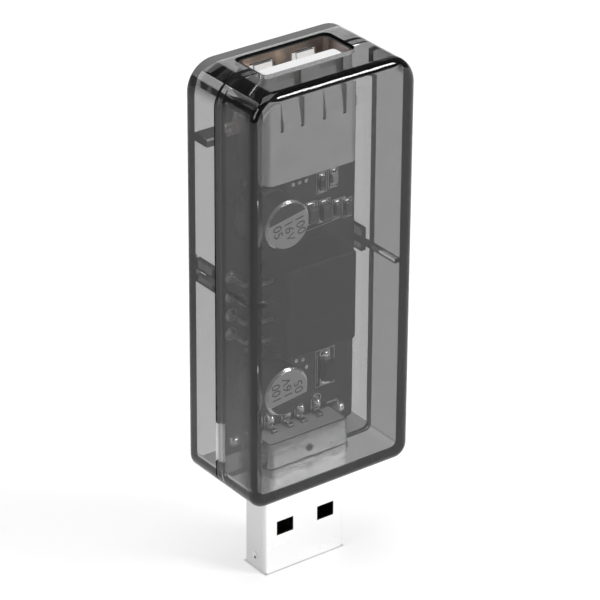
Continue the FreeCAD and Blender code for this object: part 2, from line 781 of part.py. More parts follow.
def circuit_board():
    """The board, notched at both ends round the two connectors, with holes for the module's pins."""
    body = new_body("circuit_board")
    outline = sketch_on(body, "XZ_Plane", "-board_front")
    plug_side = "plug_width / 2 + notch_gap"
    socket_side = "half_socket + notch_gap"
    add_outline(outline, [
        ("-half_board", "board_base"), (f"-({plug_side})", "board_base"),
        (f"-({plug_side})", "plug_notch_top"), (plug_side, "plug_notch_top"),
        (plug_side, "board_base"), ("half_board", "board_base"),
        ("half_board", "board_top"), (socket_side, "board_top"),
        (socket_side, "socket_notch_base"), (f"-({socket_side})", "socket_notch_base"),
        (f"-({socket_side})", "board_top"), ("-half_board", "board_top"),
    ])
    pad(body, outline, "board_thickness", backwards=True)
    round_corners(body, outline, (0, 5, 6, 11), "board_corner")
    holes = sketch_on(body, "XZ_Plane", "-board_front")
    for pin in range(4):
        add_circle(holes, "module_pin_place", f"module_level + module_pin_pitch * {pin - 1.5}",
                   "pin_hole_radius")
    cut(body, holes, f"board_thickness + {PAST}")


def stand_on_front(piece, place, level, turn=0):
    """Stand a piece, built with its foot on Z = 0, on the board's front face."""
    piece.Placement = FreeCAD.Placement(Vector(), Rotation(X_AXIS, 90) * Rotation(Z_AXIS, turn))
    bind(piece, "Placement.Base.x", place)
    bind(piece, "Placement.Base.y", "board_front")
    bind(piece, "Placement.Base.z", level)


def stand_on_back(piece, place, level):
    """Stand a piece, built with its foot on Z = 0, on the board's back face."""
    piece.Placement = FreeCAD.Placement(Vector(), Rotation(X_AXIS, -90))
    bind(piece, "Placement.Base.x", place)
    bind(piece, "Placement.Base.y", "board_back")
    bind(piece, "Placement.Base.z", level)


def power_module():
    """The potted power module that lies on the board."""
    body = new_body("power_module")
    outline = sketch_on(body, "XY_Plane")
    add_outline(outline, rectangle("-module_width / 2", "module_width / 2",
                                   "-module_height / 2", "module_height / 2"))
    pad(body, outline, "module_thickness")
    round_corners(body, outline, range(4), "module_round")
    bevel_edges(body, edges_round_face(body.Tip.Shape, Z_AXIS), "module_bevel")
    stand_on_front(body, "module_centre", "module_level")


def module_pin(number, offset):
    """One bent pin of the power module, through its hole in the board."""
    body = new_body(f"module_pin_{number}")
    half_sheet = "module_pin_sheet / 2"
    top = f"module_thickness / 2 + {half_sheet}"
    under = f"module_thickness / 2 - {half_sheet}"
    start = "-module_width / 2"
    outside = f"module_pin_place - module_centre - {half_sheet}"
    inside = f"module_pin_place - module_centre + {half_sheet}"
    low = "-board_thickness - module_pin_stub"
    outline = sketch_on(body, "XZ_Plane")
    add_outline(outline, [(start, top), (outside, top), (outside, low),
                          (inside, low), (inside, under), (start, under)])
    pad(body, outline, "module_pin_width", both_ways=True)
    round_corners(body, outline, (4,), "module_pin_bend")
    round_corners(body, outline, (1,), "module_pin_bend + module_pin_sheet")
    stand_on_front(body, "module_centre", f"module_level + module_pin_pitch * {offset}")


def moulded_package(label, length, width, height, standoff):
    """A moulded chip package whose four walls lean in above and below its middle."""
    body = new_body(label)
    outline = rectangle(f"-{length} / 2", f"{length} / 2", f"-{width} / 2", f"{width} / 2")
    for backwards in (False, True):
        middle = sketch_on(body, "XY_Plane", f"{standoff} + {height} / 2")
        add_outline(middle, outline)
        pad(body, middle, f"{height} / 2", backwards=backwards, taper="-mould_draft")
    return body


def gull_leads(label, kind, count, width, height, standoff):
    """Rows of gull-wing leads on both long sides of a package."""
    body = new_body(label)
    body.AllowCompound = True
    lead_sheet = f"{kind}_lead_sheet"
    top = f"{standoff} + {height} / 2 + {lead_sheet} / 2"
    foot = f"{kind}_lead_span / 2 - {kind}_lead_foot"
    pitch = f"{kind}_lead_pitch" if count > 1 else "0"
    row = sketch_on(body, "YZ_Plane", f"-{pitch} * {(count - 1) / 2}")
    for side in ("-", ""):
        across = [f"{width} / 2", foot, foot, f"{kind}_lead_span / 2", f"{kind}_lead_span / 2",
                  f"{foot} - {lead_sheet}", f"{foot} - {lead_sheet}", f"{width} / 2"]
        up = [top, top, lead_sheet, lead_sheet, "0", "0", f"{top} - {lead_sheet}", f"{top} - {lead_sheet}"]
        add_outline(row, [(f"{side}({one})", other) for one, other in zip(across, up)])
    lead = pad(body, row, f"{kind}_lead_width", both_ways=True)
    if count > 1:
        pattern = body.newObject("PartDesign::LinearPattern", label + "_row")
        pattern.Originals = [lead]
        along = next(item for item in body.Origin.OriginFeatures if item.Role == "X_Axis")
        pattern.Direction = (along, [""])
        pattern.Occurrences = count
        bind(pattern, "Length", f"{pitch} * {count - 1}")
        finish_feature(body, pattern, grows=True)
    return body


def isolator_chip():
    """The isolator chip and its leads on the back of the board, across the isolation gap."""
    body = moulded_package("isolator_chip", "isolator_length", "isolator_width",
                           "isolator_height", "isolator_standoff")
    mark = sketch_on(body, "XY_Plane", "isolator_standoff + isolator_height")
    add_circle(mark, "-isolator_length / 2 + 3 * mark_radius", "-isolator_width / 2 + 3 * mark_radius",
               "mark_radius")
    cut(body, mark, "mark_depth")
    leads = gull_leads("isolator_leads", "isolator", 8, "isolator_width",
                       "isolator_height", "isolator_standoff")
    for piece in (body, leads):
        stand_on_back(piece, "0", "isolator_level")


def power_diode():
    """The diode near the plug and its two leads."""
    body = moulded_package("power_diode", "diode_width", "diode_length", "diode_height", "diode_standoff")
    leads = gull_leads("power_diode_leads", "diode", 1, "diode_length", "diode_height", "diode_standoff")
    for piece in (body, leads):
        stand_on_front(piece, "diode_place", "diode_level")


def capacitor(name, turn):
    """An electrolytic capacitor: aluminium can, chamfered base plate and two flat leads."""
    radius = "can_diameter / 2"
    seat = "can_seat_level"
    can = new_body(f"{name}_capacitor_can")
    half = sketch_on(can, "XZ_Plane")
    add_outline(half, [("0", seat), (radius, seat), (radius, "can_neck_level - can_neck"),
                       (f"{radius} - can_neck", "can_neck_level"), (radius, "can_neck_level + can_neck"),
                       (radius, "can_height"), ("0", "can_height")])
    turned = can.newObject("PartDesign::Revolution", f"{name}_can_turned")
    turned.Profile = half
    turned.ReferenceAxis = (half, ["V_Axis"])
    turned.Angle = 360
    finish_feature(can, turned, grows=True)
    bevel_edges(can, edges_round_face(can.Tip.Shape, Z_AXIS), "can_bevel")

    base = new_body(f"{name}_capacitor_base")
    side = "can_base_width / 2"
    near = f"{side} - can_base_chamfer"
    plate = sketch_on(base, "XY_Plane")
    add_outline(plate, [(f"-({near})", f"-{side}"), (near, f"-{side}"), (side, f"-({near})"),
                        (side, side), (f"-{side}", side), (f"-{side}", f"-({near})")])
    pad(base, plate, "can_base_thickness")
    well = sketch_on(base, "XY_Plane", "can_base_thickness")
    add_circle(well, "0", "0", f"{radius} + moulding_gap")
    cut(base, well, f"can_base_thickness - {seat}")
    channel = sketch_on(base, "XY_Plane")
    add_outline(channel, rectangle("-can_lead_width / 2 - moulding_gap", "can_lead_width / 2 + moulding_gap",
                                   f"-{side} - {PAST}", f"{side} + {PAST}"))
    cut(base, channel, "can_lead_sheet + moulding_gap", backwards=True)

    leads = new_body(f"{name}_capacitor_leads")
    leads.AllowCompound = True
    feet = sketch_on(leads, "XY_Plane")
    for sign in ("-", ""):
        add_outline(feet, rectangle("-can_lead_width / 2", "can_lead_width / 2",
                                    f"{sign}can_lead_root", f"{sign}({side} + can_lead_reach)"))
    pad(leads, feet, "can_lead_sheet")
    for piece in (can, base, leads):
        stand_on_front(piece, "can_place", f"{name}_can_level", turn)


def chip(label, kind, share, level, stand):
    """A small ceramic chip with plated ends that stand a little proud."""
    length, width, height = (f"{kind}_chip_{what}" for what in ("length", "width", "height"))
    boxes = []
    for part, low, run in (("core", f"-{length} / 2 + chip_end_proud", f"{length} - 2 * chip_end_proud"),
                           ("low_end", f"-{length} / 2", "chip_end"),
                           ("high_end", f"{length} / 2 - chip_end", "chip_end")):
        inset = "chip_end_proud" if part == "core" else "0"
        box = doc.addObject("Part::Box", f"{label}_{part}")
        bind(box, "Length", f"{width} - 2 * {inset}")
        bind(box, "Width", run)
        bind(box, "Height", f"{height} - 2 * {inset}")
        bind(box, "Placement.Base.x", f"-{width} / 2 + {inset}")
        bind(box, "Placement.Base.y", low)
        bind(box, "Placement.Base.z", inset)
        boxes.append(box)
    whole = doc.addObject("Part::MultiFuse", label)
    whole.Label = label
    whole.Shapes = boxes
    pieces.append(whole)
    stand(whole, f"half_board * {share}", str(level))


def status_led():
    """The status lamp: a chip base with a moulded lens."""
    body = new_body("status_led")
    base = sketch_on(body, "XY_Plane")
    add_outline(base, rectangle("-small_chip_width / 2", "small_chip_width / 2",
                                "-small_chip_length / 2", "small_chip_length / 2"))
    pad(body, base, "small_chip_height / 2")
    lens = sketch_on(body, "XY_Plane", "small_chip_height / 2")
    add_outline(lens, rectangle("-small_chip_width / 2", "small_chip_width / 2",
                                "-lens_length / 2", "lens_length / 2"))
    pad(body, lens, "lens_height")
    round_edges(body, edges_round_face(body.Tip.Shape, Z_AXIS), "lens_round")
    share, level = LED_PLACE
    stand_on_front(body, f"half_board * {share}", str(level))


front_shell()
rear_shell()
circuit_board()
plug_shell()
plug_insulator()
socket_shell()
socket_insulator()
for number, (place, tip) in enumerate(contact_places(), start=1):
    plug_contact(number, place, tip)
    socket_contact(number, place)
power_module()
for number in range(1, 5):
    module_pin(number, number - 2.5)
isolator_chip()
power_diode()
capacitor("upper", sheet.get("upper_can_turn"))
capacitor("lower", sheet.get("lower_can_turn"))
for label, kind, share, level in FRONT_CHIPS:
    chip(label, kind, share, level, stand_on_front)
for label, kind, share, level in BACK_CHIPS:
    chip(label, kind, share, level, stand_on_back)
status_led()
doc.recompute()

# Check every object and write one file for each piece
for thing in doc.Objects:
    if "Invalid" in thing.State or "Error" in thing.State:
        raise RuntimeError(f"{thing.Name} did not build: {thing.State}")
os.makedirs("parts", exist_ok=True)
for piece in pieces:
    if piece.Shape.isNull() or not piece.Shape.isValid():
        raise RuntimeError(f"{piece.Label} is not a sound solid")
for piece in pieces:
    piece.Shape.exportStep(f"parts/{piece.Label}.step")
print(len(pieces), "pieces written")
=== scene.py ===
import json
import math

import bmesh
import bpy
from mathutils import Matrix, Vector


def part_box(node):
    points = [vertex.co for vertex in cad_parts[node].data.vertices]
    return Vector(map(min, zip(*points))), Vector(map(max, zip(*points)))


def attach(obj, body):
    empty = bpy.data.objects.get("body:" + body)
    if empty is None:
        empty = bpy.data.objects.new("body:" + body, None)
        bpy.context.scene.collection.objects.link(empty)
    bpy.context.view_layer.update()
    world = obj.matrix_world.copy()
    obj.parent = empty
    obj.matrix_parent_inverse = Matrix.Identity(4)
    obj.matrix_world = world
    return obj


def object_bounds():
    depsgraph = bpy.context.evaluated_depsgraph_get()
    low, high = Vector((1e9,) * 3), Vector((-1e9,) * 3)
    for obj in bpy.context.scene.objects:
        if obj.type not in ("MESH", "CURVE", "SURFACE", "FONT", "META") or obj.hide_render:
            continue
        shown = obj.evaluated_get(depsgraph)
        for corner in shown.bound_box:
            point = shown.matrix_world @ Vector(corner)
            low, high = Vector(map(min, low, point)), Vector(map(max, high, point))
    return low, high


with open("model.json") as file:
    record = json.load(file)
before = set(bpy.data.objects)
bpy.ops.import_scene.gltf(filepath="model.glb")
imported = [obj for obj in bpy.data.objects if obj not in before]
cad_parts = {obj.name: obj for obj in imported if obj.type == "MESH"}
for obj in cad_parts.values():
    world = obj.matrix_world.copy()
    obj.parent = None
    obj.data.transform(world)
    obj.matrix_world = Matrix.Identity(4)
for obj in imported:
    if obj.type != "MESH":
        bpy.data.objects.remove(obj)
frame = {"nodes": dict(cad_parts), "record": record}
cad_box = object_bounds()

# Sizes are in millimetres, and MM turns them into metres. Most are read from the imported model.

MM = 0.001
FRONT = -1
BACK = 1

# Details of the shells that their boxes don't give
SIDE_WALL = 1.55
EDGE_REACH = 1.25
LIP_END = -0.9
RIB_BAND = (39.3, 42.5)
SHELF_BAND = (57.7, 59.0)
PRY_SLOT = (17.3, 22.6)
PLUG_HALF_WIDTH = 6.0
MOUTH_HALF_WIDTH = 6.95
SMOKE_DENSITY = 285.0

# Thin layers on the board and the cans
LAND_HEIGHT = 0.02
VIA_HEIGHT = 0.03
INK_HEIGHT = 0.02
PEN = 0.1
FIGURE_SIZE = 1.75
FIGURE_PITCH = 1.62
CAN_TURN = {"upper": math.radians(11.0), "lower": math.radians(187.0)}
VIAS = ((0.04, 50.6), (1.0, 50.6), (1.95, 50.6), (0.63, 26.7), (1.62, 26.55), (2.2, 25.4),
        (7.6, 46.7), (-0.4, 44.3), (0.5, 29.3))


def low_corner(node):
    return Vector(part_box(node)[0]) / MM


def high_corner(node):
    return Vector(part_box(node)[1]) / MM


def corners(node):
    return low_corner(node), high_corner(node)


board_front = low_corner("circuit_board").y
board_back = high_corner("circuit_board").y
plug_top = high_corner("plug_shell").z


# Materials as expressions

class Field:
    """A value, colour or vector at each point of a surface, with Python's arithmetic."""

    def __init__(self, finish, socket):
        self.finish = finish
        self.socket = socket

    def part(self, name):
        """Another output of the same node."""
        return Field(self.finish, self.socket.node.outputs[name])

    def maths(self, operation, *values):
        return self.finish.add("ShaderNodeMath", {"operation": operation}, dict(enumerate(values)))

    def __add__(self, other):
        return self.maths("ADD", self, other)

    def __radd__(self, other):
        return self.maths("ADD", other, self)

    def __sub__(self, other):
        return self.maths("SUBTRACT", self, other)

    def __rsub__(self, other):
        return self.maths("SUBTRACT", other, self)

    def __mul__(self, other):
        return self.maths("MULTIPLY", self, other)

    def __rmul__(self, other):
        return self.maths("MULTIPLY", other, self)

    def __gt__(self, other):
        return self.maths("GREATER_THAN", self, other)

    def __lt__(self, other):
        return self.maths("LESS_THAN", self, other)

    def __abs__(self):
        return self.maths("ABSOLUTE", self)

    def larger(self, other):
        return self.maths("MAXIMUM", self, other)

    def within(self, start, end):
        """1 between the two values, otherwise 0."""
        return (self > start) * (self < end)

    def fade(self, start, end):
        """0 at start and 1 at end, eased between them and level beyond."""
        return self.finish.add(
            "ShaderNodeMapRange",
            {"interpolation_type": "SMOOTHSTEP"},
            {"Value": self, "From Min": start, "From Max": end},
        )


class Finish:
    """One procedural material."""

    # Sockets of Blender's Mix node when it mixes colours
    MIX_SHARE, MIX_FIRST, MIX_SECOND, MIX_RESULT = 0, 6, 7, 2

    def __init__(self, name):
        self.material = bpy.data.materials.new(name)
        self.material.use_nodes = True
        self.nodes = self.material.node_tree.nodes
        self.links = self.material.node_tree.links
        self.nodes.clear()
        self.output = self.nodes.new("ShaderNodeOutputMaterial")

    def add(self, kind, settings=None, values=None, out=0):
        """One node: its settings first, then the values or links of its sockets."""
        node = self.nodes.new(kind)
        for setting, value in (settings or {}).items():
            setattr(node, setting, value)
        for key, value in (values or {}).items():
            if isinstance(value, Field):
                self.links.new(value.socket, node.inputs[key])
            else:
                node.inputs[key].default_value = value
        return Field(self, node.outputs[out])

    def vector_maths(self, operation, values):
        return self.add("ShaderNodeVectorMath", {"operation": operation}, values)

    def spot(self):
        """The point of the part that is shaded, in millimetres."""
        metres = self.add("ShaderNodeTexCoord", out="Object")
        return self.vector_maths("SCALE", {0: metres, "Scale": 1 / MM})

    def along_piece(self):
        """0 at the low end of the piece's length and 1 at its high end."""
        place = self.add("ShaderNodeTexCoord", out="Generated")
        return self.axes(place)[2]

    def facing(self):
        """The way that the surface faces."""
        return self.add("ShaderNodeNewGeometry", out="Normal")

    def axes(self, vector):
        """The three values of a vector."""
        x = self.add("ShaderNodeSeparateXYZ", values={0: vector})
        return x, x.part("Y"), x.part("Z")

    def stretch(self, vector, x, y, z):
        return self.vector_maths("MULTIPLY", {0: vector, 1: (x, y, z)})

    def noise(self, spot, size, detail=2.0):
        """Soft noise from 0 to 1 with features that many millimetres across."""
        values = {"Vector": spot, "Scale": 1 / size, "Detail": detail}
        return self.add("ShaderNodeTexNoise", values=values)

    def mix(self, share, first, second):
        """The first colour at 0, the second at 1."""
        values = {self.MIX_SHARE: share, self.MIX_FIRST: first, self.MIX_SECOND: second}
        return self.add("ShaderNodeMix", {"data_type": "RGBA"}, values, self.MIX_RESULT)

    def greys(self, share, first, second):
        """The first grey at 0, the second at 1."""
        return self.mix(share, grey(first), grey(second))

    def bump(self, height, depth):
        """Relief of that many millimetres where height goes from 0 to 1."""
        return self.add("ShaderNodeBump", values={"Height": height, "Distance": depth * MM})

    def principled(self, **values):
        sockets = {name.replace("_", " ").title().replace("Ior", "IOR"): value
                   for name, value in values.items()}
        return self.add("ShaderNodeBsdfPrincipled", values=sockets)

    def blend(self, share, first, second):
        """The first surface at 0, the second at 1."""
        return self.add("ShaderNodeMixShader", values={0: share, 1: first, 2: second})

    def done(self, surface, volume=None):
        self.links.new(surface.socket, self.output.inputs["Surface"])
        if volume:
            self.links.new(volume.socket, self.output.inputs["Volume"])
        return self.material


def grey(level):
    return (level, level, level, 1.0)


def tint(red, green, blue):
    return (red, green, blue, 1.0)


# Finishes of the isolator

def smoked_case():
    """Clear grey polycarbonate: polished faces, rougher drawn inner side walls with a painted
    darker shade, painted dark shade on the front left edge, the left face near the front, the front
    lower edge, the left top corners and the inner floor, painted black shade on the parting line,
    the hole edges, each rib and each shelf, and painted pale light on the pry slot and the rear of
    the top.
    """
    finish = Finish("smoked_polycarbonate")
    spot = finish.spot()
    x, y, z = finish.axes(spot)
    facing_x, facing_y, facing_z = finish.axes(finish.facing())
    case_low, case_high = low_corner("front_shell"), high_corner("rear_shell")
    socket_low, socket_high = corners("socket_shell")
    from_side = case_high.x - abs(x)
    from_top = case_high.z - z
    from_base = z - case_low.z
    on_left = x < 0.0
    side_face = abs(facing_x) > 0.9

    # The wall: hairlines, rougher drawn inner sides with a painted darker shade, and painted dark
    # shade on edges, corners and the inner floor
    flow = finish.noise(spot, 7.0, 1.0)
    hairlines = finish.noise(finish.stretch(spot, 1.0, 1.0, 0.08), 0.25)
    # Rougher inner side faces, which also get a painted darker shade in their colour
    drawn_side_and_shade = (from_side.within(SIDE_WALL - 0.15, SIDE_WALL + 0.15) * side_face
                  * (y < LIP_END))
    left_rim = on_left * (from_side < EDGE_REACH)
    # Painted dark shade on the front left edge, the left face near the front, the front lower edge
    # and the inner floor
    left_edge_shade = (facing_x * facing_y).fade(0.03, 0.2) * left_rim
    near_edge_shade = side_face * y.fade(-4.6, -6.8) * on_left
    lower_edge_shade = (facing_y * facing_z).fade(0.03, 0.2) * (from_base < EDGE_REACH)
    inner_floor_shade = (from_base.within(1.5, 2.5) * (from_side > 1.5)
                   * (abs(facing_z) > 0.1) * (abs(facing_y) < 0.5))
    # Painted dark shade in the left top corners; the rear one also takes painted pale light below
    left_corner = (facing_x < -0.3) * left_rim
    rear_corner_shade_and_light = left_corner * from_top.fade(3.6, 2.4) * (y > 0.0)
    front_corner_shade = left_corner * from_top.fade(2.2, 1.0) * (y < 0.0)
    # edge and corner gather the painted shade that darkens the wall's colour
    edge = left_edge_shade.larger(near_edge_shade).larger(lower_edge_shade)
    corner = (0.65 * rear_corner_shade_and_light).larger(0.8 * front_corner_shade)
    painted_edge_shade = edge.larger(corner).larger(inner_floor_shade * (0.5 + 0.4 * (y > LIP_END)))
    # The painted darker shade of the inner side faces
    shaded_sides = finish.greys(drawn_side_and_shade * 0.8, 1.0, 0.25)
    wall = finish.principled(
        base_color=finish.mix(painted_edge_shade, shaded_sides, grey(0.10)),
        roughness=0.012 + 0.03 * hairlines.fade(0.62, 0.75) + 0.08 * drawn_side_and_shade,
        transmission_weight=1.0,
        ior=1.5,
        normal=finish.bump(flow, 0.02),
    )

    # Painted places without gloss: painted black shade on the seam, the edges of both holes, the
    # ribs and the shelves, and painted pale light on the pry slot, the rear of the top and the rear
    # left corner
    at_ends = (from_top < 1.3).larger(from_base < 1.5)
    in_seam = y.within(LIP_END - 0.05, 0.08) * (from_side < SIDE_WALL + 0.01).larger(at_ends)
    seam_shade = (in_seam * (abs(facing_y) > 0.9)
            + 0.5 * in_seam * side_face * (from_side > 0.5) * on_left
            + side_face * (abs(y) < 0.1) * (from_side < 0.2))
    mouth = (from_top.within(0.05, 1.5) * (abs(x) < MOUTH_HALF_WIDTH)
             * y.within(socket_low.y - 0.1, socket_high.y + 0.4))
    mouth_back_shade = mouth * ((y > socket_high.y - 0.3) + (x > 6.5)).fade(0.5, 1.0)
    plug_hole_shade = (from_base.within(0.1, 1.5) * (abs(x) < PLUG_HALF_WIDTH + 0.2)
                 * (abs(y) < high_corner("plug_shell").y + 0.2))
    rib_shade = from_side.within(SIDE_WALL + 0.01, 2.3) * z.within(*RIB_BAND) * (y > -3.2)
    shelf_shade = (from_side.within(SIDE_WALL + 0.01, 4.5) * z.within(*SHELF_BAND)
               * (facing_z > 0.9))
    # Painted pale light on the rear of the top
    rear_top_light = (from_top < 1.6) * (y > socket_high.y + 0.45) * (facing_z > 0.3)
    painted_tone_share = (seam_shade + mouth_back_shade + 0.7 * plug_hole_shade + 0.8 * rib_shade + 0.85 * shelf_shade
                + 0.17 * rear_top_light + 0.1 * rear_corner_shade_and_light * (1 - rear_top_light))
    # Painted pale light on the pry slot and, fainter, on the rear left corner
    pry_slot_light = in_seam * z.within(*PRY_SLOT) * on_left
    painted_pale_light = pry_slot_light.larger(rear_top_light).larger(0.25 * rear_corner_shade_and_light)
    # The painted tone without gloss: near black for painted shade, near white for painted pale
    # light
    dull = finish.principled(base_color=finish.greys(painted_pale_light, 0.01, 0.95), roughness=1.0,
                             specular_ior_level=0.0)

    # Thin clear plastic casts a light shadow
    casting = finish.add("ShaderNodeLightPath", out="Is Shadow Ray")
    clear = finish.add("ShaderNodeBsdfTransparent", values={"Color": grey(0.9)})
    surface = finish.blend(casting, finish.blend(painted_tone_share, wall, dull), clear)
    smoke = finish.add("ShaderNodeVolumeAbsorption",
                       values={"Color": grey(0.0), "Density": SMOKE_DENSITY})
    return finish.done(surface, smoke)


def plug_steel():
    """Bright nickel on rolled steel, with painted darker shade on the narrow faces, on the part
    within the case and just below it, in a line at the case's floor and in the dimple.
    """
    finish = Finish("bright_nickel_steel")
    spot = finish.spot()
    x, y, z = finish.axes(spot)
    facing_x = finish.axes(finish.facing())[0]
    case_base = low_corner("front_shell").z
    above_base = z - case_base
    grain = finish.noise(finish.stretch(spot, 1.0, 1.0, 0.04), 0.12)
    # Here the rubbed noise is only wear: a random tone and roughness
    rubbed_wear_and_highlight = finish.noise(finish.stretch(spot, 0.3, 1.0, 1.0), 2.2)
    bright = finish.greys(rubbed_wear_and_highlight, 0.92, 0.98)
    # Painted darker shade on the narrow faces
    shown = finish.mix(abs(facing_x).fade(0.5, 0.9), bright, grey(0.64))
    # Painted shade on the part within the case: darkest at the case's floor, darker toward the
    # plug's top, fading in just below the case
    inside_case_shade = finish.greys(above_base.fade(1.7, plug_top - case_base), 0.46, 0.33)
    covered_shade = finish.mix(above_base > 1.5, grey(0.22), inside_case_shade)
    sheet = finish.mix(above_base.fade(-0.9, 0.0), shown, covered_shade)
    # A painted shade line where the plug passes the case's floor, and a painted shade in the dimple
    case_floor_shade_line = above_base.within(1.4, 1.75)
    from_dent = above_base - 2.95
    dimple_shade = (x * x + from_dent * from_dent < 0.27) * (y < -2.0)
    return finish.done(finish.principled(
        base_color=finish.mix(case_floor_shade_line.larger(0.8 * dimple_shade), sheet, grey(0.05)),
        metallic=1.0,
        roughness=0.16 + 0.10 * grain + 0.08 * rubbed_wear_and_highlight.fade(0.5, 0.7),
        normal=finish.bump(grain, 0.001),
    ))


def socket_steel():
    """Dull nickel outside and a warm copper tone in the mouth, with a painted white highlight on
    the rear fingers.
    """
    finish = Finish("nickel_socket_steel")
    spot = finish.spot()
    x, y, z = finish.axes(spot)
    facing_x, facing_y, facing_z = finish.axes(finish.facing())
    low, high = corners("socket_shell")
    middle = (low.y + high.y) / 2
    inward = (x * facing_x + (y - middle) * facing_y) < -0.3
    finger = (abs(abs(x) - 3.05) < 1.3) * y.within(middle, high.y - 0.32) * (z > high.z - 6.0)
    # Painted white highlight on the inner faces of the rear fingers, with little metal
    rubbed_wear_and_highlight = inward * finger
    grain = finish.noise(finish.stretch(spot, 1.0, 1.0, 0.1), 0.2)
    patches = finish.noise(spot, 2.5)
    outer = finish.greys(patches, 0.50, 0.62)
    inner = finish.mix(patches, tint(0.44, 0.38, 0.36), tint(0.60, 0.54, 0.51))
    sheet = finish.mix(facing_z > 0.9, finish.mix(inward, outer, inner), grey(0.22))
    return finish.done(finish.principled(
        base_color=finish.mix(rubbed_wear_and_highlight, sheet, grey(0.95)),
        metallic=1 - 0.75 * rubbed_wear_and_highlight,
        roughness=0.28 + 0.12 * grain,
        normal=finish.bump(grain, 0.001),
    ))


def plug_moulding():
    """Black tongue in the plug's mouth, on a pale rear block that closes the sheet shell."""
    finish = Finish("plug_thermoplastic")
    spot = finish.spot()
    z = finish.axes(spot)[2]
    grain = finish.noise(spot, 0.12, 3.0)
    flow = finish.noise(spot, 2.0)
    tongue = finish.greys(flow, 0.008, 0.02)
    block = finish.greys(flow, 0.40, 0.50)
    return finish.done(finish.principled(
        base_color=finish.mix(z > 12.5, tongue, block),
        roughness=0.35 + 0.15 * grain,
        normal=finish.bump(grain, 0.01),
    ))


def moulded(name, dark, light, roughness, grain_size):
    """Moulded plastic with a fine spark-eroded grain and faint flow shading."""
    finish = Finish(name)
    spot = finish.spot()
    flow = finish.noise(spot, 3.0)
    grain = finish.noise(spot, grain_size, 3.0)
    return finish.done(finish.principled(
        base_color=finish.greys(flow, dark, light),
        roughness=roughness + 0.15 * grain,
        specular_ior_level=0.25,
        normal=finish.bump(grain, 0.001),
    ))


def tinned_copper():
    """Dipped tin: a little wavy, with dull spots of flux."""
    finish = Finish("tinned_copper")
    spot = finish.spot()
    waves = finish.noise(spot, 0.5)
    flux = finish.noise(spot, 0.9).fade(0.55, 0.7)
    return finish.done(finish.principled(
        base_color=finish.greys(flux, 0.54, 0.34),
        metallic=1.0,
        roughness=0.28 + 0.2 * flux,
        normal=finish.bump(waves, 0.02),
    ))


def solder_tin():
    """Solder: a painted bright highlight tone on the plug's tails, darker with spots of flux on the
    other joints.
    """
    finish = Finish("solder_tin")
    spot = finish.spot()
    z = finish.axes(spot)[2]
    # Painted bright highlight tone on the solder of the plug's tails
    bright_tail_highlight = z < plug_top + 4.0
    waves = finish.noise(spot, 0.5)
    flux = finish.noise(spot, 0.9).fade(0.55, 0.7)
    return finish.done(finish.principled(
        base_color=finish.mix(bright_tail_highlight, finish.greys(flux, 0.58, 0.36), grey(0.97)),
        metallic=1.0,
        roughness=0.18 + 0.2 * flux * (1 - bright_tail_highlight) + 0.08 * bright_tail_highlight,
        normal=finish.bump(waves, 0.02),
    ))


def can_aluminium(can, band_edge):
    """Drawn aluminium can with a painted highlight round its rolled top edge and a dark printed
    band across its top, that far from the middle.
    """
    finish = Finish(f"{can}_can_metal")
    spot = finish.spot()
    x, y, z = finish.axes(spot)
    facing_y = finish.axes(finish.facing())[1]
    low, high = corners(f"{can}_capacitor_can")
    middle = (low + high) / 2
    turn = CAN_TURN[can]
    along = (z - middle.z) * math.cos(turn) - (x - middle.x) * math.sin(turn)
    on_top = y < low.y + 0.02
    # Painted highlight on the rolled top edge, which is also smoother
    rim_highlight = facing_y.within(-0.97, -0.3) * (y < low.y + 0.5)
    grain = finish.noise(finish.stretch(spot, 1.0, 0.05, 1.0), 0.15)
    # The drawn side colour, with the painted highlight on the rolled top edge
    drawn = finish.mix(rim_highlight, finish.greys(grain, 0.12, 0.18), grey(0.95))
    top = finish.mix(on_top * (along > band_edge), finish.greys(grain, 0.37, 0.46), grey(0.035))
    return finish.done(finish.principled(
        base_color=finish.mix(on_top, drawn, top),
        metallic=1 - 0.9 * on_top,
        roughness=0.38 + 0.12 * grain + 0.10 * on_top - 0.22 * rim_highlight,
        normal=finish.bump(grain * (1 - on_top), 0.003),
    ))


def gold_contact():
    """Thin gold over nickel where the contacts rub, tin on their tails, with a painted dark shade
    on the plug's tails up to just above the plug's top.
    """
    finish = Finish("gold_flash")
    spot = finish.spot()
    z = finish.axes(spot)[2]
    wear = finish.noise(finish.stretch(spot, 1.0, 1.0, 0.2), 0.6)
    gold = finish.mix(wear.fade(0.55, 0.75), tint(0.76, 0.64, 0.46), tint(0.74, 0.70, 0.64))
    # Painted dark shade on the plug's tails up to just above the plug's top
    tin = finish.mix(z.fade(plug_top + 0.4, plug_top + 1.0), grey(0.10),
                     finish.greys(wear, 0.50, 0.70))
    tail = z.within(plug_top - 3.0, low_corner("socket_insulator").z + 0.5)
    return finish.done(finish.principled(
        base_color=finish.mix(tail, gold, tin),
        metallic=1.0,
        roughness=0.22 + 0.15 * wear,
    ))


def plated_chip(name, body_dark, body_light, roughness):
    """Fired ceramic between two tinned ends."""
    finish = Finish(name)
    ends = abs(finish.along_piece() - 0.5) > 0.32
    grain = finish.noise(finish.spot(), 0.15, 3.0)
    body = finish.mix(grain, body_dark, body_light)
    plating = finish.greys(grain, 0.10, 0.20)
    return finish.done(finish.principled(
        base_color=finish.mix(ends, body, plating),
        metallic=ends,
        roughness=roughness - 0.1 * ends + 0.1 * grain,
        normal=finish.bump(grain, 0.008),
    ))


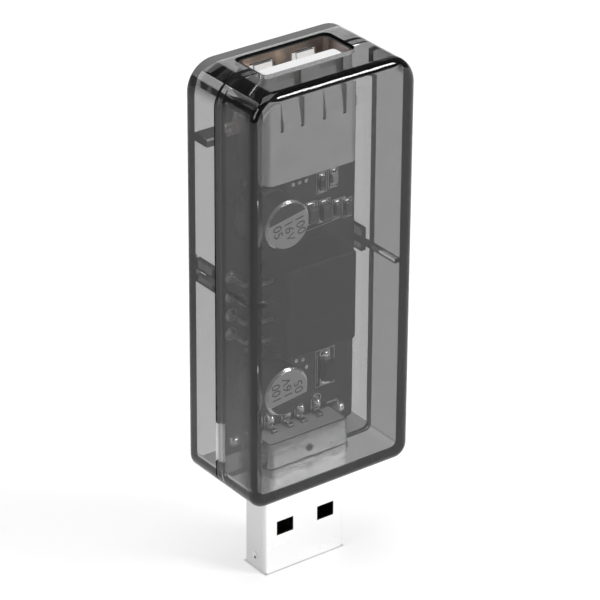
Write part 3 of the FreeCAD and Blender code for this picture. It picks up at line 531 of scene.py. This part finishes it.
def board_lacquer():
    """Black solder lacquer over glass cloth, with the bare laminate at the cut edges."""
    finish = Finish("black_board_lacquer")
    spot = finish.spot()
    y = finish.axes(spot)[1]
    cut_edge = y.within(board_front + 0.03, board_back - 0.03)
    weave = finish.add("ShaderNodeTexChecker", values={"Vector": spot, "Scale": 2.2}, out="Fac")
    patches = finish.noise(spot, 4.0)
    lacquer = finish.greys(patches, 0.012, 0.022)
    laminate = finish.mix(weave, tint(0.040, 0.037, 0.030), tint(0.055, 0.050, 0.042))
    return finish.done(finish.principled(
        base_color=finish.mix(cut_edge, lacquer, laminate),
        roughness=0.30 + 0.12 * patches + 0.3 * cut_edge,
        normal=finish.bump(patches, 0.004),
    ))


def lamp_lens():
    """Milky clear resin of the status lamp, between its tinned ends."""
    finish = Finish("lamp_resin")
    ends = abs(finish.along_piece() - 0.5) > 0.36
    haze = finish.noise(finish.spot(), 0.3)
    resin = finish.greys(haze, 0.30, 0.42)
    return finish.done(finish.principled(
        base_color=finish.mix(ends, resin, grey(0.85)),
        metallic=ends * 0.9,
        roughness=0.25 + 0.2 * haze,
    ))


def printed_ink(name, dark, light):
    """Screen printing with a slightly broken film."""
    finish = Finish(name)
    film = finish.noise(finish.spot(), 0.12, 3.0)
    return finish.done(finish.principled(
        base_color=finish.greys(film.fade(0.3, 0.6), dark, light),
        roughness=0.5 + 0.2 * film,
    ))


finishes = {
    "smoked_case": smoked_case(),
    "plug_steel": plug_steel(),
    "socket_steel": socket_steel(),
    "black_moulding": plug_moulding(),
    "white_moulding": moulded("white_thermoplastic", dark=0.78, light=0.86, roughness=0.35,
                              grain_size=0.12),
    "module_moulding": moulded("potting_black", dark=0.006, light=0.012, roughness=0.55,
                               grain_size=0.30),
    "chip_moulding": moulded("epoxy_black", dark=0.012, light=0.028, roughness=0.50,
                             grain_size=0.08),
    "can_base_plastic": moulded("can_base_black", dark=0.015, light=0.03, roughness=0.45,
                                grain_size=0.12),
    "tinned_leads": tinned_copper(),
    "gold_contact": gold_contact(),
    "capacitor_ceramic": plated_chip("ceramic_brown", tint(0.055, 0.05, 0.045),
                                     tint(0.085, 0.078, 0.07), roughness=0.5),
    "resistor_ceramic": plated_chip("resistor_glaze", grey(0.02), grey(0.05), roughness=0.35),
    "board": board_lacquer(),
    "lamp_lens": lamp_lens(),
}
can_finishes = {
    "upper_capacitor_can": can_aluminium("upper", band_edge=1.05),
    "lower_capacitor_can": can_aluminium("lower", band_edge=1.13),
}
solder = solder_tin()
white_print = printed_ink("white_board_print", dark=0.22, light=0.48)
black_print = printed_ink("black_can_print", dark=0.03, light=0.06)

for subpart in frame["record"]["subparts"]:
    name = subpart["node"]
    finish = can_finishes.get(name, finishes.get(subpart["material_slot"]))
    for material_slot in frame["nodes"][name].material_slots:
        material_slot.material = finish


# Forms that lie on the board

def show(name, shape, material):
    """Turn a bmesh, drawn in the row frame, into a piece of the part."""
    bmesh.ops.remove_doubles(shape, verts=shape.verts, dist=0.001 * MM)
    bmesh.ops.recalc_face_normals(shape, faces=shape.faces)
    mesh = bpy.data.meshes.new(name)
    shape.to_mesh(mesh)
    shape.free()
    mesh.shade_smooth()
    mesh.set_sharp_from_angle(angle=math.radians(40))
    mesh.materials.append(material)
    piece = bpy.data.objects.new(name, mesh)
    bpy.context.collection.objects.link(piece)
    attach(piece, "root")


def on_board(side, x, out, z):
    """A point that far out of the board's front or back face, in metres."""
    face = board_front if side == FRONT else board_back
    return Vector((x, face + side * out, z)) * MM


def skin(shape, rows, closed=False):
    """Quads between rows of points, each row joined to the next. Returns the last row."""
    made = [[shape.verts.new(point) for point in row] for row in rows]
    for first, second in zip(made, made[1:]):
        last = len(first) if closed else len(first) - 1
        for i in range(last):
            j = (i + 1) % len(first)
            shape.faces.new((first[i], first[j], second[j], second[i]))
    return made[-1]


def slab(shape, side, outline, height):
    """A thin layer with that outline and no underside."""
    rows = [[on_board(side, x, level, z) for x, z in outline] for level in (0.0, height)]
    shape.faces.new(skin(shape, rows, closed=True))


def plate(shape, side, x, z, width, length):
    """A land with softened corners."""
    corner = 0.15 * min(width, length)
    outline = []
    for sx, sz, start in ((1, 1, 0), (-1, 1, 90), (-1, -1, 180), (1, -1, 270)):
        for step in range(4):
            angle = math.radians(start + step * 30)
            outline.append((x + sx * (width / 2 - corner) + corner * math.cos(angle),
                            z + sz * (length / 2 - corner) + corner * math.sin(angle)))
    slab(shape, side, outline, LAND_HEIGHT)


def line(shape, side, points, pen=PEN):
    """A printed line through the points, each stretch with square ends that overlap the next."""
    for start, end in zip(points, points[1:]):
        start, end = Vector(start), Vector(end)
        along = (end - start).normalized()
        across = Vector((-along.y, along.x)) * pen / 2
        reach = along * pen / 2
        outline = (start - reach + across, end + reach + across,
                   end + reach - across, start - reach - across)
        slab(shape, side, outline, INK_HEIGHT)


def box_outline(x1, z1, x2, z2):
    return [(x1, z1), (x2, z1), (x2, z2), (x1, z2), (x1, z1)]


def turned(shape, side, x, z, profile, steps=24):
    """A profile of radius and height, turned about a line straight out of the board."""
    turns = [2 * math.pi * i / steps for i in range(steps)]
    rows = [[on_board(side, x + radius * math.cos(turn), out, z + radius * math.sin(turn))
             for turn in turns] for radius, out in profile]
    skin(shape, rows, closed=True)


def ring(shape, side, x, z, inner, outer, height, steps=24):
    """A flat ring, such as the land round a pin."""
    profile = ((inner, 0.0), (inner, height), (outer, height), (outer, 0.0))
    turned(shape, side, x, z, profile, steps)


def mound(shape, side, x, z, width, length, height, steps=14):
    """A rounded heap of solder over a lead's foot."""
    across = [-math.cos(math.pi * i / steps) for i in range(steps + 1)]
    rows = []
    for v in across:
        squeeze = math.sqrt(max(0.0, 1 - 0.35 * v * v))
        row = []
        for u in across:
            fall = max(0.0, (1 - abs(u) ** 2.4)) ** 0.6 * max(0.0, (1 - abs(v) ** 2.6)) ** 0.6
            skew = 1.0 - 0.12 * v * u
            row.append(on_board(side, x + u * squeeze * width / 2, height * fall * skew,
                                z + v * length / 2))
        rows.append(row)
    skin(shape, rows)


def end_fillet(shape, side, x, z, width, height, reach, way, steps=7):
    """Solder that climbs a chip's end, hollow in side view. way is the way out along the board."""
    rows = []
    for i in range(steps + 1):
        t = i / steps
        climb = height * (1 - t) ** 2
        half = width / 2 * (1 - 0.12 * t * t)
        row = []
        for j in range(9):
            u = -1 + j / 4
            row.append(on_board(side, x + u * half, climb * (1 - abs(u) ** 4),
                                z + way * reach * t))
        rows.append(row)
    skin(shape, rows)


# Lands and solder joints

def chip_joints(lands, joints):
    for subpart in frame["record"]["subparts"]:
        if subpart["material_slot"] not in ("capacitor_ceramic", "resistor_ceramic", "lamp_lens"):
            continue
        low, high = corners(subpart["node"])
        middle = (low + high) / 2
        width, height = high.x - low.x, high.y - low.y
        side = FRONT if middle.y < board_back else BACK
        for way, end in ((-1, low.z), (1, high.z)):
            plate(lands, side, middle.x, end + way * 0.1, width=width + 0.1, length=0.75)
            end_fillet(joints, side, middle.x, end - way * 0.02, width=0.92 * width,
                       height=0.8 * height, reach=0.38, way=way)


def diode_joints(lands, joints):
    low, high = corners("power_diode_leads")
    middle = (low.x + high.x) / 2
    for way, tip in ((-1, low.z), (1, high.z)):
        plate(lands, FRONT, middle, tip - way * 0.1, width=1.5, length=1.3)
        mound(joints, FRONT, middle, tip - way * 0.05, width=1.3, length=1.05, height=0.42)


def can_joints(joints):
    for can, turn in CAN_TURN.items():
        low, high = corners(f"{can}_capacitor_leads")
        can_low, can_high = corners(f"{can}_capacitor_can")
        middle = (can_low + can_high) / 2
        reach = (high.z - low.z) / 2 - 0.45
        for way in (-1, 1):
            x = middle.x - way * reach * math.sin(turn)
            z = middle.z + way * reach * math.cos(turn)
            mound(joints, FRONT, x, z, width=1.35, length=1.5, height=0.32)


def contact_joints(lands, joints, number):
    """The plug's and the socket's tails, which stand in line with each other."""
    low, high = corners(f"plug_contact_{number}")
    x = (low.x + high.x) / 2
    plate(lands, FRONT, x, high.z - 0.7, width=1.25, length=2.0)
    mound(joints, FRONT, x, high.z - 0.2, width=1.1, length=1.5, height=0.95)
    foot = low_corner(f"socket_contact_{number}").z + 0.7
    plate(lands, FRONT, x, foot, width=1.25, length=2.0)
    mound(joints, FRONT, x, foot, width=1.05, length=1.7, height=0.6)


def pin_joints(lands, joints, number):
    """Solder cones round a pin of the module, flat in front and full behind."""
    low, high = corners(f"module_pin_{number}")
    x, z = low.x + 0.125, (low.z + high.z) / 2
    for side, rise in ((FRONT, 0.35), (BACK, 0.8)):
        ring(lands, side, x, z, inner=0.38, outer=0.85, height=LAND_HEIGHT)
        cone = [(0.78 - 0.5 * t + 0.02 / (t + 0.2), rise * t * t)
                for t in (0.0, 0.2, 0.4, 0.6, 0.8, 1.0)]
        turned(joints, side, x, z, cone + [(0.0, rise)])


def ear_joints(joints):
    for name, level in (("plug_shell", plug_top - 0.55), ("socket_shell", 60.1)):
        low, high = corners(name)
        for way, edge in ((-1, low.x), (1, high.x)):
            mound(joints, FRONT, edge - way * 0.45, level, width=1.3, length=1.3, height=0.62)


def draw_joints():
    lands = bmesh.new()
    joints = bmesh.new()
    chip_joints(lands, joints)
    diode_joints(lands, joints)
    can_joints(joints)
    for number in range(1, 5):
        contact_joints(lands, joints, number)
        pin_joints(lands, joints, number)
    ear_joints(joints)
    for x, z in VIAS:
        for side in (FRONT, BACK):
            ring(joints, side, x, z, inner=0.06, outer=0.26, height=VIA_HEIGHT, steps=14)
    show("board_lands", lands, finishes["tinned_leads"])
    show("solder_joints", joints, solder)


# Print

def draw_board_print():
    ink = bmesh.new()
    for node, margin in (("led_resistor", 0.35), ("chip_capacitor_1", 0.3),
                         ("chip_capacitor_2", 0.3), ("chip_capacitor_3", 0.3),
                         ("chip_capacitor_4", 0.28), ("status_led", 0.3)):
        low, high = corners(node)
        over = margin + 0.2
        line(ink, FRONT, box_outline(low.x - margin, low.z - over, high.x + margin, high.z + over))
    low, high = corners("power_diode")
    line(ink, FRONT, box_outline(low.x - 0.6, low.z - 1.05, high.x + 0.6, high.z + 1.25))
    line(ink, FRONT, [(low.x - 0.35, low.z - 0.6), (low.x - 0.35, high.z + 0.6)])
    line(ink, FRONT, [(2.2, 43.9), (7.9, 44.3)])
    line(ink, FRONT, [(5.5, 19.35), (7.0, 19.35), (7.05, 18.2)], pen=0.3)
    ring(ink, FRONT, 3.8, 20.5, inner=0.55, outer=0.70, height=INK_HEIGHT)
    line(ink, FRONT, [(3.6, 20.25), (3.8, 20.75), (4.0, 20.25)])
    show("board_print", ink, white_print)


def flat_figures(words):
    """A mesh of the words, flat on the ground at the origin."""
    text = bpy.data.curves.new("figures", "FONT")
    text.body = words
    text.size = FIGURE_SIZE * MM
    text.extrude = 0.006 * MM
    holder = bpy.data.objects.new("figures", text)
    bpy.context.collection.objects.link(holder)
    bpy.context.view_layer.update()
    seen = holder.evaluated_get(bpy.context.evaluated_depsgraph_get())
    mesh = bpy.data.meshes.new_from_object(seen)
    bpy.data.objects.remove(holder)
    return mesh


def draw_can_print(can, lines):
    """Plain figures on a can's top, which read away from the dark band."""
    low, high = corners(f"{can}_capacitor_can")
    middle = (low + high) / 2
    turn = CAN_TURN[can]
    reading = Vector((math.sin(turn), 0, -math.cos(turn)))
    upright = Vector((math.cos(turn), 0, math.sin(turn)))
    out = Vector((0, -1, 0))
    turned_to_face = Matrix((reading, upright, out)).transposed().to_4x4()
    shape = bmesh.new()
    for row, words in enumerate(lines):
        start = (Vector((middle.x, low.y, middle.z)) - 0.75 * reading
                 + (1.05 - FIGURE_PITCH * row) * upright)
        mesh = flat_figures(words)
        mesh.transform(Matrix.Translation(start * MM) @ turned_to_face)
        shape.from_mesh(mesh)
    show(f"{can}_can_figures", shape, black_print)


draw_joints()
draw_board_print()
draw_can_print("upper", ["100", "16V", "05"])
draw_can_print("lower", ["100", "16V", "05"])


# Floor, light and camera

def floor_sheet():
    """A pale sheet on a light table, glowing from below, with a painted shadow in the glow under
    and round the plug and a painted shade far to the left.
    """
    finish = Finish("light_table_sheet")
    spot = finish.spot()
    x, y, z = finish.axes(spot)
    fibre = finish.noise(spot, 1.5)
    beside_plug = (abs(x) - PLUG_HALF_WIDTH).larger(abs(y) - high_corner("plug_shell").y)
    leftwards = 0.6 * y - 0.8 * x
    # Painted shadow in the glow under and round the plug, and painted shade far to the left
    glow_with_painted_shadow = ((0.90 * beside_plug.fade(-0.3, 0.3) + 0.10 * beside_plug.fade(0.0, 16.0))
           * (1 - 0.5 * leftwards.fade(42.0, 80.0)))
    return finish.done(finish.principled(
        base_color=finish.greys(fibre, 0.44, 0.46),
        roughness=0.8,
        specular_ior_level=0.2,
        emission_color=finish.mix(glow_with_painted_shadow, grey(0.0), finish.greys(fibre, 0.98, 1.0)),
        emission_strength=0.66,
    ))


def floor():
    shape = bmesh.new()
    bmesh.ops.create_grid(shape, x_segments=4, y_segments=4, size=3.0)
    mesh = bpy.data.meshes.new("floor")
    shape.to_mesh(mesh)
    shape.free()
    mesh.materials.append(floor_sheet())
    piece = bpy.data.objects.new("floor", mesh)
    bpy.context.collection.objects.link(piece)
    piece.location.z = cad_box[0][2] - 0.01 * MM


def softbox(name, towards, width, height, power):
    """A soft rectangular lamp, a metre away in that direction, that faces the part."""
    lamp = bpy.data.lights.new(name, "AREA")
    lamp.shape = "RECTANGLE"
    lamp.size = width
    lamp.size_y = height
    lamp.energy = power
    holder = bpy.data.objects.new(name, lamp)
    bpy.context.collection.objects.link(holder)
    direction = Vector(towards).normalized()
    holder.location = Vector((0, 0, 0.035)) + direction
    holder.rotation_euler = direction.to_track_quat("Z", "Y").to_euler()


def dim_room():
    world = bpy.data.worlds.new("dim_room")
    world.use_nodes = True
    backdrop = world.node_tree.nodes["Background"]
    backdrop.inputs["Color"].default_value = grey(1.0)
    backdrop.inputs["Strength"].default_value = 0.15
    bpy.context.scene.world = world


def camera():
    """The photograph's view: a long lens, turned to the left of the front and above it."""
    azimuth, elevation, roll = math.radians(-36.757), math.radians(27.782), math.radians(0.389)
    target = Vector((0.655, 0.0, 35.325))
    distance = 424.46
    focal_pixels, frame_pixels = 3539.7, 600

    back = Vector((math.sin(azimuth) * math.cos(elevation),
                   -math.cos(azimuth) * math.cos(elevation),
                   math.sin(elevation)))
    right = Vector((math.cos(azimuth), math.sin(azimuth), 0))
    up = back.cross(right)
    turned_right = right * math.cos(roll) + up * math.sin(roll)
    turned_up = up * math.cos(roll) - right * math.sin(roll)
    pose = Matrix((turned_right, turned_up, back)).transposed().to_4x4()

    lens = bpy.data.cameras.new("camera")
    lens.sensor_width = 36.0
    lens.lens = focal_pixels / frame_pixels * lens.sensor_width
    lens.clip_start = 0.01
    holder = bpy.data.objects.new("camera", lens)
    bpy.context.collection.objects.link(holder)
    holder.matrix_world = Matrix.Translation((target + back * distance) * MM) @ pose
    bpy.context.scene.camera = holder


floor()
dim_room()
softbox("key_softbox", (0.53, -0.62, 0.58), width=0.35, height=0.30, power=7.0)
softbox("top_softbox", (-0.1, 0.1, 1.0), width=0.9, height=0.9, power=5.5)
softbox("side_softbox", (-0.95, -0.1, 0.5), width=0.3, height=0.6, power=2.5)
camera()
bpy.context.scene.view_settings.view_transform = "Standard"
